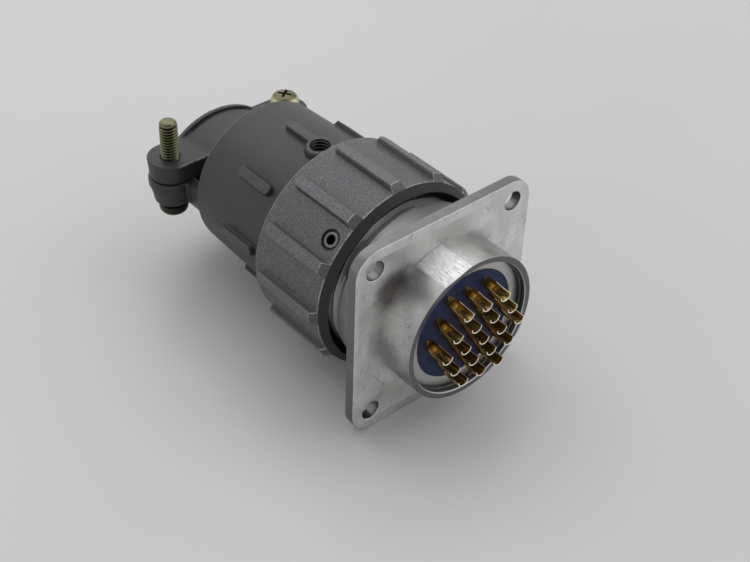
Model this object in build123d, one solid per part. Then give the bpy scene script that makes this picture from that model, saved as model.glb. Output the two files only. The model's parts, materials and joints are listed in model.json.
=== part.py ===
"""Circular multi-way connector: a square-flange receptacle mated with a cable plug.

The connector's axis is X. +X points to the receptacle's solder cups and +Z is up.
The origin is the middle of the flange face that seats on the panel.
The receptacle fills +X and the flange, and the plug stands behind it towards -X.
All sizes are millimetres.
"""
from build123d import *
import os
from math import cos, pi, radians, sin, sqrt

os.makedirs("parts", exist_ok=True)

# Fits
contact_fit = 0.02        # contact in its moulded hole, radial
seat_fit = 0.05           # piece against the shoulder or bore that holds it
running_fit = 0.06        # thread or bore that turns on its mate, radial
mating_fit = 0.08         # plug sleeve in the receptacle's bore, radial
screw_slack = 0.25        # screw in its clearance hole, radial
end_gap = 0.1             # moving piece from the face that it draws up to

# Receptacle flange
flange_size = 38.0
flange_thickness = 2.0
flange_corner = 4.4
flange_hole_inset = 4.0   # hole's middle from the flange's edge
flange_hole_radius = 1.8

# Radii outward and inward from the coupling thread
thread_radius = flange_size / 2 - 4.4     # pitch radius
collar_radius = thread_radius + 0.9
barrel_outer = thread_radius - 0.95
barrel_bore = barrel_outer - 1.15
web_bore = barrel_bore - 0.9
washer_bore = barrel_bore - 2.15
cavity_radius = thread_radius - 1.6
sleeve_bore = cavity_radius - 1.8
plug_bore = cavity_radius - 1.2
plug_washer_bore = plug_bore - 1.8
plug_flange_radius = cavity_radius + 1.1
plug_neck_radius = cavity_radius + 0.45
plug_thread_radius = plug_neck_radius - 0.45

# Receptacle along the axis
barrel_length = 7.3
barrel_edge = 0.25
flat_angle = 106.5        # milled flat on the barrel, measured from +Y
flat_depth = 0.3
collar_length = 6.5
thread_undercut = 0.8
thread_length = 11.3
shell_lead = 0.5
collar_end = -flange_thickness - collar_length
shell_end = collar_end - thread_undercut - thread_length
cavity_floor = -2 * flange_thickness
insulator_shoulder = -flange_thickness / 2
insulator_face = barrel_length - 1.8      # solder side
insulator_front = cavity_floor - 0.2      # mating side
washer_thickness = 1.1
snap_ring_thickness = 0.7
snap_ring_width = 0.95
snap_groove_depth = 0.5
snap_ring_gap = 3.2

# Contacts: rows of a close-packed layout
contact_rows = (3, 4, 5, 4, 3)
contact_margin = 2.25     # outermost contact's middle from the washer's bore
contact_pitch = 2 * (washer_bore - contact_margin) / (max(contact_rows) - 1)
pin_radius = 0.75
pin_reach = 8.2           # pin in front of the insulator's mating face
pin_nose = 0.4
barrel_radius = 1.15      # contact body and solder cup
cup_bore = 0.92
cup_floor = 0.7
cup_length = 4.7
cup_ramp = 0.9            # radius of the ramp at the foot of the cup's open side
cup_shoulder = 0.7        # closed length behind the ramp
neck_radius = 0.95
neck_length = 0.3
socket_radius = 1.3
socket_recess = 0.5
socket_depth = 7.4
socket_slot = 0.35
socket_mouth = 0.2        # slack round the pin in the plug insulator

# Keys that let the plug in one way only
key_angles = (90, 222, 318)
key_widths = (2.8, 1.6, 1.6)
key_height = 0.7
key_root = 0.3
key_slack = 0.15
key_setback = 0.6

# Plug along the axis
sleeve_tip = cavity_floor - 1.0
plug_insulator_front = sleeve_tip - 0.6
sleeve_shoulder = shell_end + 3.6
plug_insulator_rear = shell_end - 0.9
seal_gap = 0.1
seal_thickness = 1.65
seal_width = 1.5
plug_flange_thickness = 2.5
plug_neck_length = 3.5
plug_thread_length = 8.6
plug_flange_front = shell_end - seal_gap - seal_thickness - seat_fit
plug_flange_rear = plug_flange_front - plug_flange_thickness
plug_neck_end = plug_flange_rear - plug_neck_length
plug_end = plug_neck_end - plug_thread_length

# Coupling nut
nut_grip = 3.2            # valley between ribs from the thread's pitch line
nut_bevel = 1.2
nut_lip = 0.15
nut_mouth_depth = 1.9
nut_relief = 0.6
nut_wall = 2.2            # rear wall that pulls on the plug's flange
nut_skirt = 0.9
nut_skirt_gap = 0.3
nut_edge = 0.3
nut_thread_end = 1.5      # thread's rear end from the receptacle's rim
nut_rib_count = 12
nut_rib_phase = 2.0
nut_rib_width = 2.6
nut_rib_height = 1.1
nut_rib_root = 0.6
nut_rib_setback = 1.4
nut_rib_round = 0.55
nut_radius = thread_radius + nut_grip
nut_mouth_radius = nut_radius - nut_bevel - nut_lip
nut_front = collar_end - 1.1
nut_wall_front = plug_flange_rear - end_gap
nut_wall_rear = nut_wall_front - nut_wall
nut_rear = nut_wall_rear - nut_skirt
nut_rib_start = nut_rear + nut_rib_setback
set_screw_place = nut_front - 4.0
set_screw_angle = 137.0
set_screw_sink = 0.15
set_screw_radius = 1.35   # pitch radius of its thread
set_screw_length = nut_grip - 0.5
set_screw_dish = 0.35
set_screw_dish_rim = 0.5

# Backshell
backshell_radius = plug_neck_radius + 1.75
backshell_taper = 0.4
backshell_rear_radius = backshell_radius - backshell_taper
backshell_length = 22.9
backshell_front = nut_wall_rear - end_gap
backshell_rear = backshell_front - backshell_length
backshell_edge = 0.9
backshell_thread_end = plug_end - 0.6
backshell_bore = plug_thread_radius - 0.1
backshell_rear_wall = 1.9
backshell_rib_count = 8
backshell_rib_width = 2.2
backshell_rib_height = 1.0
backshell_rib_root = 0.5
backshell_rib_round = 0.45
backshell_rib_rear = backshell_rear + 9.4
backshell_rib_front = nut_rear - 3.5
rib_phase = 2.0
lock_hole_place = nut_rear - 3.1
lock_hole_angle = 93.5
lock_boss_radius = 2.65
lock_boss_height = 1.2
lock_hole_radius = 1.65
lock_hole_mouth = 0.2

# Cable clamp: the trough is one with the backshell, the saddle is loose
trough_radius = backshell_rear_radius - 1.8
trough_wall = 2.2
trough_bore = trough_radius - trough_wall
trough_end_wall = 2.0
trough_end_round = 2.5
clamp_reach = 14.3
clamp_length = 8.8
clamp_rear = backshell_rear - clamp_reach
clamp_front = clamp_rear + clamp_length
clamp_middle = clamp_rear + clamp_length / 2
lug_span = 2 * (trough_radius + 0.4)      # between the two clamp screws
lug_radius = clamp_length / 2
lug_edge = 0.5
trough_top = -0.1
lower_lug_thickness = 5.3
lower_lug_bottom = trough_top - lower_lug_thickness
saddle_bottom = 0.1
saddle_lug_thickness = 3.9
saddle_lug_top = saddle_bottom + saddle_lug_thickness
arch_centre = -7.2
arch_outer = trough_radius + 0.6
arch_wall = 1.6
arch_inner = arch_outer - arch_wall
arch_blend = 2.5
bead_height = 0.45
bead_width = 0.9

# Screws
screw_radius = 1.56       # pitch radius of the clamp screws' thread
screw_hole_radius = 1.75  # thread crest, for the clearance holes
screw_tip = 0.3
clamp_screw_length = 17.7
head_radius = 2.8
head_height = 2.45
head_round = 0.9
recess_width = 0.75
recess_length = 3.0
recess_depth = 1.2
spring_washer_thickness = 0.7
spring_washer_radius = 2.7
spring_washer_cut = 0.5
hex_key = 1.5
hex_depth = 1.4

# Places of what is held, worked out from the sizes above
washer_face = insulator_face + 0.1
washer_back = washer_face - washer_thickness
snap_back = washer_face + seat_fit
snap_front = snap_back + snap_ring_thickness
cup_start = insulator_face + neck_length
cup_tip = cup_start + cup_length
pin_tip = insulator_front - pin_reach
socket_face = plug_insulator_front - socket_recess
plug_washer_rear = plug_insulator_rear - washer_thickness
plug_snap_rear = plug_washer_rear - seat_fit - snap_ring_thickness
lug_y = lug_span / 2
left_head_seat = lower_lug_bottom - seat_fit - spring_washer_thickness - seat_fit
right_head_seat = saddle_lug_top + seat_fit + spring_washer_thickness + seat_fit


def turned(points):
    """Solid turned about the connector's axis from its half section of (x, radius)."""
    return revolve(make_face(Polyline(*points, close=True)), Axis.X, 360)


def rod(start, end, radius, y=0.0, z=0.0):
    """Round bar along X."""
    return Pos((start + end) / 2, y, z) * Rot(0, 90, 0) * Cylinder(radius, abs(end - start))


def post(x, y, bottom, top, radius):
    """Round bar along Z."""
    return Pos(x, y, (bottom + top) / 2) * Cylinder(radius, top - bottom)


def ring(start, end, inner, outer):
    """Flat ring about the connector's axis."""
    return turned([(start, inner), (end, inner), (end, outer), (start, outer)])


def around(angle, piece):
    """Piece built on the +Y side, turned about the axis to its angle from +Y."""
    return Rot(angle, 0, 0) * piece


def contact_places():
    """(y, z) of each contact: rows of a close-packed layout, from the top row down."""
    row_step = contact_pitch * sqrt(3) / 2
    top = row_step * (len(contact_rows) - 1) / 2
    for row, count in enumerate(contact_rows):
        for place in range(count):
            yield contact_pitch * ((count - 1) / 2 - place), top - row * row_step


def solder_cup(start, tip):
    """Solder cup along X from its foot to its tip, bored out, with its upper side open."""
    way = 1 if tip > start else -1
    length = abs(tip - start)
    cup = rod(start, tip, barrel_radius)
    cup -= rod(start + way * cup_floor, tip + way, cup_bore)
    ramp_end = start + way * (cup_ramp + cup_shoulder)
    cut_length = length - cup_ramp
    cut_width = 3 * barrel_radius
    opening = Pos(ramp_end + way * cut_length / 2, 0, barrel_radius) * Box(
        cut_length, cut_width, 2 * barrel_radius)
    ramp = Pos(ramp_end, 0, cup_ramp) * Rot(90, 0, 0) * Cylinder(cup_ramp, cut_width)
    return cup - opening - ramp


def snap_ring(start, end, bore_radius, gap_angle):
    """Open spring ring that sits in a groove of the given bore."""
    outer = bore_radius + snap_groove_depth - seat_fit
    body = ring(start, end, outer - snap_ring_width, outer)
    gap = Pos((start + end) / 2, outer, 0) * Box(
        4 * snap_ring_thickness, 4 * snap_ring_width, snap_ring_gap)
    return body - around(gap_angle, gap)


def build_receptacle_shell():
    """Turned aluminium shell with its square flange, barrel, collar and coupling thread."""
    half = flange_size / 2
    flange = Pos(-flange_thickness / 2, 0, 0) * Rot(0, 90, 0) * extrude(
        RectangleRounded(flange_size, flange_size, flange_corner), flange_thickness / 2, both=True)
    for y in (-1, 1):
        for z in (-1, 1):
            spot = half - flange_hole_inset
            flange -= rod(-half, half, flange_hole_radius, y * spot, z * spot)
    outside = turned([
        (barrel_length, 0), (barrel_length, barrel_outer - barrel_edge),
        (barrel_length - barrel_edge, barrel_outer), (-flange_thickness / 2, barrel_outer),
        (-flange_thickness / 2, collar_radius), (collar_end + barrel_edge, collar_radius),
        (collar_end, collar_radius - barrel_edge), (collar_end, thread_radius - shell_lead),
        (collar_end - thread_undercut, thread_radius - shell_lead),
        (collar_end - thread_undercut, thread_radius), (shell_end + shell_lead, thread_radius),
        (shell_end, thread_radius - shell_lead), (shell_end, 0)])
    bore = turned([
        (barrel_length + 1, 0), (barrel_length + 1, barrel_bore + barrel_edge),
        (barrel_length, barrel_bore + barrel_edge), (barrel_length - barrel_edge, barrel_bore),
        (snap_front + seat_fit, barrel_bore), (snap_front + seat_fit, barrel_bore + snap_groove_depth),
        (snap_back - seat_fit, barrel_bore + snap_groove_depth), (snap_back - seat_fit, barrel_bore),
        (insulator_shoulder, barrel_bore), (insulator_shoulder, web_bore),
        (cavity_floor, web_bore), (cavity_floor, cavity_radius),
        (shell_end - 1, cavity_radius), (shell_end - 1, 0)])
    shell = flange + outside - bore
    flat = Pos(barrel_length / 2, 1.5 * barrel_outer - flat_depth, 0) * Box(
        barrel_length, barrel_outer, 2 * barrel_outer)
    shell -= around(flat_angle, flat)
    for angle, width in zip(key_angles, key_widths):
        slot_length = abs(shell_end - sleeve_tip) + 2 * key_setback
        slot = Pos(sleeve_tip - slot_length / 2, cavity_radius, 0) * Box(
            slot_length, 2 * (key_height + key_slack), width + 2 * key_slack)
        shell -= around(angle, slot)
    return shell


def build_receptacle_insulator():
    """Moulded disc that carries the pins, stepped to seat on the shell's shoulder."""
    body = turned([
        (insulator_face, 0), (insulator_face, washer_bore - seat_fit),
        (washer_back - seat_fit, washer_bore - seat_fit),
        (washer_back - seat_fit, barrel_bore - seat_fit),
        (insulator_shoulder + seat_fit, barrel_bore - seat_fit),
        (insulator_shoulder + seat_fit, web_bore - seat_fit),
        (insulator_front, web_bore - seat_fit), (insulator_front, 0)])
    for y, z in contact_places():
        body -= rod(insulator_front - 1, insulator_shoulder, pin_radius + contact_fit, y, z)
        body -= rod(insulator_shoulder, insulator_face + 1, barrel_radius + contact_fit, y, z)
    return body


def build_pin_contact():
    """Pin contact on the axis: round-nosed pin, body, neck and solder cup."""
    body = turned([
        (cup_start, 0), (cup_start, neck_radius), (insulator_face, neck_radius),
        (insulator_face, barrel_radius), (insulator_shoulder + contact_fit, barrel_radius),
        (insulator_shoulder + contact_fit, pin_radius), (pin_tip + pin_nose, pin_radius),
        (pin_tip, pin_radius - pin_nose), (pin_tip, 0)])
    return body + solder_cup(cup_start, cup_tip)


def build_socket_contact():
    """Socket contact on the axis: split spring socket, body, neck and solder cup."""
    foot = plug_insulator_rear - neck_length
    bore = pin_radius + running_fit
    body = turned([
        (socket_face, 0), (socket_face, socket_radius), (plug_insulator_rear, socket_radius),
        (plug_insulator_rear, neck_radius), (foot, neck_radius), (foot, 0)])
    body -= rod(socket_face + 1, socket_face - socket_depth, bore)
    slot_length = socket_depth - 1
    body -= Pos(socket_face - slot_length / 2 + 0.5, 0, 0) * Box(
        slot_length + 1, 3 * socket_radius, socket_slot)
    return body + solder_cup(foot, foot - cup_length)


def build_plug_shell():
    """Turned sleeve of the plug, with the flange that the coupling nut pulls on."""
    sleeve = cavity_radius - mating_fit
    shell = turned([
        (sleeve_tip, sleeve_bore), (sleeve_tip, sleeve - barrel_edge),
        (sleeve_tip - barrel_edge, sleeve), (plug_flange_front, sleeve),
        (plug_flange_front, plug_flange_radius), (plug_flange_rear, plug_flange_radius),
        (plug_flange_rear, plug_neck_radius), (plug_neck_end, plug_neck_radius),
        (plug_neck_end, plug_thread_radius), (plug_end, plug_thread_radius),
        (plug_end, plug_bore), (plug_snap_rear - seat_fit, plug_bore),
        (plug_snap_rear - seat_fit, plug_bore + snap_groove_depth),
        (plug_washer_rear, plug_bore + snap_groove_depth), (plug_washer_rear, plug_bore),
        (sleeve_shoulder, plug_bore), (sleeve_shoulder, sleeve_bore)])
    for angle, width in zip(key_angles, key_widths):
        key_length = abs(shell_end - sleeve_tip) - 2 * key_setback
        key_middle = sleeve + (key_height - key_root) / 2
        key = Pos(sleeve_tip - key_setback - key_length / 2, key_middle, 0) * Box(
            key_length, key_height + key_root, width)
        shell += around(angle, key)
    return shell


def build_plug_insulator():
    """Moulded block that carries the sockets, stepped to seat in the plug shell."""
    body = turned([
        (plug_insulator_front, 0), (plug_insulator_front, sleeve_bore - seat_fit),
        (sleeve_shoulder - seat_fit, sleeve_bore - seat_fit),
        (sleeve_shoulder - seat_fit, plug_bore - seat_fit),
        (plug_insulator_rear, plug_bore - seat_fit), (plug_insulator_rear, 0)])
    for y, z in contact_places():
        body -= rod(plug_insulator_front + 1, socket_face, pin_radius + socket_mouth, y, z)
        body -= rod(socket_face, plug_insulator_rear - 1, socket_radius + contact_fit, y, z)
    return body


def build_nut_rib():
    """One grip rib of the coupling nut, round at its rear end."""
    length = nut_front + 1 - nut_rib_start
    bottom = nut_radius - nut_rib_root
    plan = Pos(nut_rib_start + length / 2, 0) * SlotOverall(length, nut_rib_width)
    rib = extrude(Plane.XY * plan, nut_rib_height + nut_rib_root)
    rib = fillet(rib.faces().sort_by(Axis.Z)[-1].edges(), nut_rib_round)
    return Rot(-90, 0, 0) * Pos(0, 0, bottom) * rib


def build_coupling_nut():
    """Die-cast coupling nut: ribbed grip, coned mouth, thread and rear wall."""
    skirt_bore = backshell_radius + nut_skirt_gap
    body = turned([
        (nut_front, nut_mouth_radius), (nut_front, nut_radius),
        (nut_rear + nut_edge, nut_radius), (nut_rear, nut_radius - nut_edge),
        (nut_rear, skirt_bore), (nut_wall_rear, skirt_bore),
        (nut_wall_rear, plug_neck_radius + running_fit),
        (nut_wall_front, plug_neck_radius + running_fit), (nut_wall_front, thread_radius + nut_relief),
        (shell_end + nut_thread_end, thread_radius + nut_relief),
        (shell_end + nut_thread_end, thread_radius + running_fit),
        (nut_front - nut_mouth_depth - 1, thread_radius + running_fit),
        (nut_front - nut_mouth_depth, nut_mouth_radius)])
    rib = build_nut_rib()
    for place in range(nut_rib_count):
        body += around(nut_rib_phase + place * 360 / nut_rib_count, rib)
    lip = nut_radius - nut_bevel
    cone_rise = 2 * (nut_bevel + nut_rib_height)
    body -= turned([
        (nut_front - cone_rise, lip + cone_rise), (nut_front, lip), (nut_front + cone_rise, lip),
        (nut_front + cone_rise, lip + cone_rise)])
    hole = Rot(-90, 0, 0) * post(set_screw_place, 0, 0, 2 * nut_radius, set_screw_radius + running_fit)
    dish = Rot(-90, 0, 0) * post(set_screw_place, 0, nut_radius - set_screw_dish,
                                 2 * nut_radius, set_screw_radius + set_screw_dish_rim)
    return body - around(set_screw_angle, hole) - around(set_screw_angle, dish)


def build_set_screw():
    """Hexagon-socket set screw that locks the coupling nut."""
    top = nut_radius - set_screw_sink
    body = post(0, 0, top - set_screw_length, top, set_screw_radius)
    socket = extrude(Plane.XY.offset(top - hex_depth) * RegularPolygon(hex_key / sqrt(3), 6), hex_depth)
    screw = Pos(set_screw_place, 0, 0) * (body - socket)
    return around(set_screw_angle, Rot(-90, 0, 0) * screw)


def build_backshell_rib():
    """One short stiffening rib on the backshell."""
    length = backshell_rib_front - backshell_rib_rear
    middle = (backshell_rib_front + backshell_rib_rear) / 2
    bottom = backshell_rear_radius - backshell_rib_root
    height = backshell_radius + backshell_rib_height - bottom
    rib = extrude(Plane.XY * Pos(middle, 0) * SlotOverall(length, backshell_rib_width), height)
    rib = fillet(rib.faces().sort_by(Axis.Z)[-1].edges(), backshell_rib_round)
    return Rot(-90, 0, 0) * Pos(0, 0, bottom) * rib


def build_backshell():
    """Die-cast backshell, one with the lower trough of the cable clamp."""
    outside = turned([
        (backshell_front, 0), (backshell_front, backshell_radius),
        (backshell_thread_end, backshell_radius),
        (backshell_rear + backshell_edge, backshell_rear_radius),
        (backshell_rear + 0.3 * backshell_edge, backshell_rear_radius - 0.3 * backshell_edge),
        (backshell_rear, backshell_rear_radius - backshell_edge), (backshell_rear, 0)])
    rib = build_backshell_rib()
    for place in range(backshell_rib_count):
        outside += around(rib_phase + place * 360 / backshell_rib_count, rib)
    boss_top = backshell_radius + lock_boss_height
    boss = Rot(-90, 0, 0) * post(lock_hole_place, 0, plug_neck_radius + seat_fit, boss_top, lock_boss_radius)
    outside += around(lock_hole_angle, boss)

    trough = turned([
        (backshell_rear + 1, 0), (backshell_rear + 1, trough_radius),
        (clamp_rear + trough_end_round, trough_radius),
        (clamp_rear + 0.3 * trough_end_round, trough_radius - 0.3 * trough_end_round),
        (clamp_rear, trough_radius - trough_end_round), (clamp_rear, 0)])
    trough_length = backshell_rear - clamp_rear
    upper = Pos(clamp_rear + trough_length / 2, 0, trough_top + trough_radius) * Box(
        trough_length, 3 * trough_radius, 2 * trough_radius)
    trough -= upper
    lug_plan = Pos(clamp_middle, 0) * Rot(0, 0, 90) * SlotOverall(lug_span + 2 * lug_radius, clamp_length)
    lugs = extrude(Plane.XY.offset(lower_lug_bottom) * lug_plan, lower_lug_thickness)
    lugs = fillet(lugs.faces().sort_by(Axis.Z)[0].edges(), lug_edge)
    shell = outside + trough + lugs

    cavity = turned([
        (backshell_front + 1, 0), (backshell_front + 1, plug_thread_radius + seat_fit),
        (backshell_thread_end, plug_thread_radius + seat_fit),
        (backshell_thread_end, backshell_bore),
        (backshell_rear + backshell_rear_wall + 1, backshell_bore),
        (backshell_rear + backshell_rear_wall, trough_bore),
        (clamp_rear + trough_end_wall, trough_bore), (clamp_rear + trough_end_wall, 0)])
    shell -= cavity
    throat = rod(clamp_rear - 1, clamp_rear + trough_end_wall + 1, arch_inner, 0, -arch_centre)
    shell -= throat
    inner_neck = rod(backshell_front + 1, plug_neck_end - 0.2, plug_neck_radius + seat_fit)
    shell -= inner_neck
    hole = Rot(-90, 0, 0) * post(lock_hole_place, 0, backshell_bore / 2, boss_top + 1, lock_hole_radius)
    mouth = Rot(-90, 0, 0) * Pos(lock_hole_place, 0, boss_top - lock_hole_mouth / 2) * Cone(
        lock_hole_radius, lock_hole_radius + lock_hole_mouth, lock_hole_mouth)
    shell -= around(lock_hole_angle, hole) + around(lock_hole_angle, mouth)
    shell -= post(clamp_middle, -lug_y, lower_lug_bottom - 1, trough_top + 1, screw_hole_radius + screw_slack)
    head_room = left_head_seat - head_height - 1
    shell -= post(clamp_middle, -lug_y, head_room, lower_lug_bottom, head_radius + screw_slack)
    shell -= post(clamp_middle, lug_y, lower_lug_bottom - 1, trough_top + 1, screw_radius + running_fit)
    return shell


def build_clamp_saddle():
    """Die-cast upper saddle of the cable clamp: arch, two lugs and a bead on its rear edge."""
    plan = Pos(clamp_middle, 0) * Rot(0, 0, 90) * SlotOverall(lug_span + 2 * lug_radius, clamp_length)
    bar = extrude(Plane.XY.offset(saddle_bottom) * plan, saddle_lug_thickness)
    arch = rod(clamp_rear, clamp_front, arch_outer, 0, arch_centre)
    below = Pos(clamp_middle, 0, saddle_bottom - arch_outer) * Box(
        2 * clamp_length, 3 * arch_outer, 2 * arch_outer)
    saddle = bar + (arch - below)
    foot = sqrt(arch_outer ** 2 - (saddle_lug_top - arch_centre) ** 2)
    creases = [edge for edge in saddle.edges().filter_by(Axis.X)
               if abs(edge.center().Z - saddle_lug_top) < 0.01 and abs(abs(edge.center().Y) - foot) < 0.01]
    saddle = fillet(creases, arch_blend)
    bead = rod(clamp_rear, clamp_rear + bead_width, arch_outer + bead_height, 0, arch_centre)
    lower = Pos(clamp_middle, 0, saddle_lug_top - 2 * arch_outer) * Box(
        2 * clamp_length, 4 * arch_outer, 4 * arch_outer)
    saddle += bead - lower
    saddle -= rod(clamp_rear - 1, clamp_front + 1, arch_inner, 0, arch_centre)
    saddle -= post(clamp_middle, -lug_y, saddle_bottom - 1, saddle_lug_top + 1, screw_radius + running_fit)
    saddle -= post(clamp_middle, lug_y, saddle_bottom - 1, saddle_lug_top + 1,
                   screw_hole_radius + screw_slack)
    return saddle


def build_clamp_screw():
    """Pan-head screw that points down, its head's seat at the origin."""
    head = fillet(post(0, 0, 0, head_height, head_radius).faces().sort_by(Axis.Z)[-1].edges(), head_round)
    shank = post(0, 0, -clamp_screw_length, 0.1, screw_radius)
    tip = chamfer(shank.faces().sort_by(Axis.Z)[0].edges(), screw_tip)
    recess_middle = head_height - recess_depth / 2 + 0.01
    recess = Pos(0, 0, recess_middle) * Box(recess_length, recess_width, recess_depth)
    recess += Pos(0, 0, recess_middle) * Box(recess_width, recess_length, recess_depth)
    return head + tip - recess


def build_spring_washer(bottom):
    """Split spring washer about the Z axis."""
    washer = post(0, 0, bottom, bottom + spring_washer_thickness, spring_washer_radius)
    washer -= post(0, 0, bottom - 1, bottom + 2, screw_hole_radius + 0.1)
    cut = Pos(spring_washer_radius, 0, bottom + spring_washer_thickness / 2) * Rot(25, 0, 0) * Box(
        2 * spring_washer_radius, spring_washer_cut, 3)
    return washer - cut


parts = {
    "receptacle_shell": build_receptacle_shell(),
    "receptacle_insulator": build_receptacle_insulator(),
    "receptacle_washer": ring(washer_back, washer_face, washer_bore, barrel_bore - seat_fit),
    "receptacle_snap_ring": snap_ring(snap_back, snap_front, barrel_bore, 270),
    "plug_shell": build_plug_shell(),
    "plug_insulator": build_plug_insulator(),
    "plug_washer": ring(plug_washer_rear, plug_insulator_rear - seat_fit, plug_washer_bore,
                        plug_bore - seat_fit),
    "plug_snap_ring": snap_ring(plug_snap_rear, plug_washer_rear - seat_fit, plug_bore, 90),
    "mating_seal": ring(plug_flange_front + seat_fit, plug_flange_front + seat_fit + seal_thickness,
                        cavity_radius - mating_fit + seat_fit, cavity_radius + seal_width),
    "coupling_nut": build_coupling_nut(),
    "nut_set_screw": build_set_screw(),
    "backshell": build_backshell(),
    "clamp_saddle": build_clamp_saddle(),
    "clamp_screw_left": Pos(clamp_middle, -lug_y, left_head_seat) * Rot(180, 0, 0) * build_clamp_screw(),
    "clamp_screw_right": Pos(clamp_middle, lug_y, right_head_seat) * build_clamp_screw(),
    "spring_washer_left": Pos(clamp_middle, -lug_y, 0) * build_spring_washer(left_head_seat + seat_fit),
    "spring_washer_right": Pos(clamp_middle, lug_y, 0) * build_spring_washer(saddle_lug_top + seat_fit),
}
pin = build_pin_contact()
socket = build_socket_contact()
for number, (y, z) in enumerate(contact_places(), start=1):
    parts[f"pin_contact_{number:02d}"] = Pos(0, y, z) * pin
    parts[f"socket_contact_{number:02d}"] = Pos(0, y, z) * socket

for name, shape in parts.items():
    export_step(shape, f"parts/{name}.step")
print(len(parts), "parts written")
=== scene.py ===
# %% [markdown]
# # Dressing a circular connector
#
# The object is a mated pair: a bright machined receptacle with a square flange, and a grey
# cast cable plug behind it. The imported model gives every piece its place. This lesson builds
# the surfaces that a camera sees: turned edges, cast ribs, cut threads and gold solder cups.
# A turned part is one section spun round an axis, so code is both shorter and truer there
# than modelling by hand.

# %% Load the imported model
import json
import math

import bmesh
import bpy
import numpy as np
from mathutils import Matrix, Vector


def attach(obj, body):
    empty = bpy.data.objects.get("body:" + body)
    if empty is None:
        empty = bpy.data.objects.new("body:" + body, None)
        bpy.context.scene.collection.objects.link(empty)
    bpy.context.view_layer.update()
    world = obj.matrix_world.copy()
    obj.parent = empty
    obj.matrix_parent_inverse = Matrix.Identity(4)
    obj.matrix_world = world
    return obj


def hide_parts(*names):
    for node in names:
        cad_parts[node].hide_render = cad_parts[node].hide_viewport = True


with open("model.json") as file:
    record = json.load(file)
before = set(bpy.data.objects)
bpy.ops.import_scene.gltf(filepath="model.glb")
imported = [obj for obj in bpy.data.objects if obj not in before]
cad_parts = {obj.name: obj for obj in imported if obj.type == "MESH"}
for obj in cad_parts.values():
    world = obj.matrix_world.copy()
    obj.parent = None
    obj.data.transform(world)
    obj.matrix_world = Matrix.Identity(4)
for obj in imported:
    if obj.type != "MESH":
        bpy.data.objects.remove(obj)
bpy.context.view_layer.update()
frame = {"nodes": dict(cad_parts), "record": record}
MM, SAME_PLACE = 0.001, 1e-7

# %% [markdown]
# ## Sizes that finishes and shapes share
#
# A mask has to lie on the very edge that it darkens or brightens, so masks and shapes read
# the same sizes. They are in millimetres, like every size below.

# %% Shared sizes
FLANGE_THICK, BARREL_RADIUS, RIM_X, BORE, BORE_STEP, GROOVE = 2.0, 13.65, 7.3, 12.5, 5.55, 13.0
FLAT_ANGLE, FLAT_DEPTH = math.radians(106.5), 0.3
FLAT_PLANE = BARREL_RADIUS - FLAT_DEPTH
NUT_RADIUS, NUT_FRONT, NUT_REAR, LIP = 17.8, -9.6, -28.1, 16.6
SCREW_X, SCREW_ANGLE, DISH = -13.6, math.radians(137), 1.85
SHELL_REAR, SHELL_RADIUS, SHELL_END_RADIUS = -50.2, 15.2, 14.8
BOSS_X, BOSS_ANGLE, TAP_CREST, TAP_ROOT = -31.2, math.radians(93.5), 1.58, 1.88
CUP_TIP, CUP_FLOOR, CUP_INNER, CUP_OUTER = 10.5, 6.5, 0.93, 1.15
CLAMP_MIDDLE, CLAMP_FRONT, LUG_Y, LUG_TOP = -60.1, -55.7, 13.4, 4.0
LEFT_SEAT, RIGHT_SEAT, SCREW_LENGTH, SCREW_CREST, HEAD_RADIUS = -6.2, 4.8, 17.7, 1.73, 2.8

# %% [markdown]
# ## Shader maths as plain expressions
#
# A finish is a few patterns that are scaled, mixed and masked. As nodes that soon becomes a
# web of Math boxes. One small class holds a socket and turns `1 - mask * 0.3` into those
# boxes, so each finish below reads like the sentence that describes it.


# %% A socket that does sums
class Value:
    """One output of a shader node. Arithmetic on it adds Math nodes to its finish."""

    def __init__(self, finish, socket):
        self.finish = finish
        self.socket = socket

    def math(self, operation, *values):
        return self.finish.node("ShaderNodeMath", {"operation": operation}, dict(enumerate(values)))

    def __add__(self, other):
        return self.math("ADD", self, other)

    def __sub__(self, other):
        return self.math("SUBTRACT", self, other)

    def __rsub__(self, other):
        return self.math("SUBTRACT", other, self)

    def __mul__(self, other):
        return self.math("MULTIPLY", self, other)

    def __pow__(self, other):
        return self.math("POWER", self, other)

    def __abs__(self):
        return self.math("ABSOLUTE", self)

    __radd__ = __add__
    __rmul__ = __mul__

    def between(self, low, high):
        """0 below low, 1 above high, smooth in the middle."""
        settings = {"interpolation_type": "SMOOTHSTEP"}
        inputs = {"Value": self, "From Min": low, "From Max": high}
        return self.finish.node("ShaderNodeMapRange", settings, inputs)

    def under(self, low, high):
        """1 below low, 0 above high."""
        return 1 - self.between(low, high)

    def band(self, start, full, fading, end):
        """0 before start and past end, 1 from full to fading."""
        return self.between(start, full) * self.under(fading, end)


def distance(across, along):
    return (across * across + along * along) ** 0.5


# %% [markdown]
# A finish keeps its own nodes. One method adds any node: its settings go in first, because
# a Math node's operation decides which sockets it has. Patterns are measured in millimetres
# of the piece's own space, so they ride with it when a joint moves and keep their scale.


# %% Nodes in a tree
MIX_FIRST, MIX_SECOND, MIX_RESULT = 6, 7, 2  # the colour sockets of a Mix node


def colour(value):
    return value if isinstance(value, Value) else (*value, 1.0)


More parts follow.
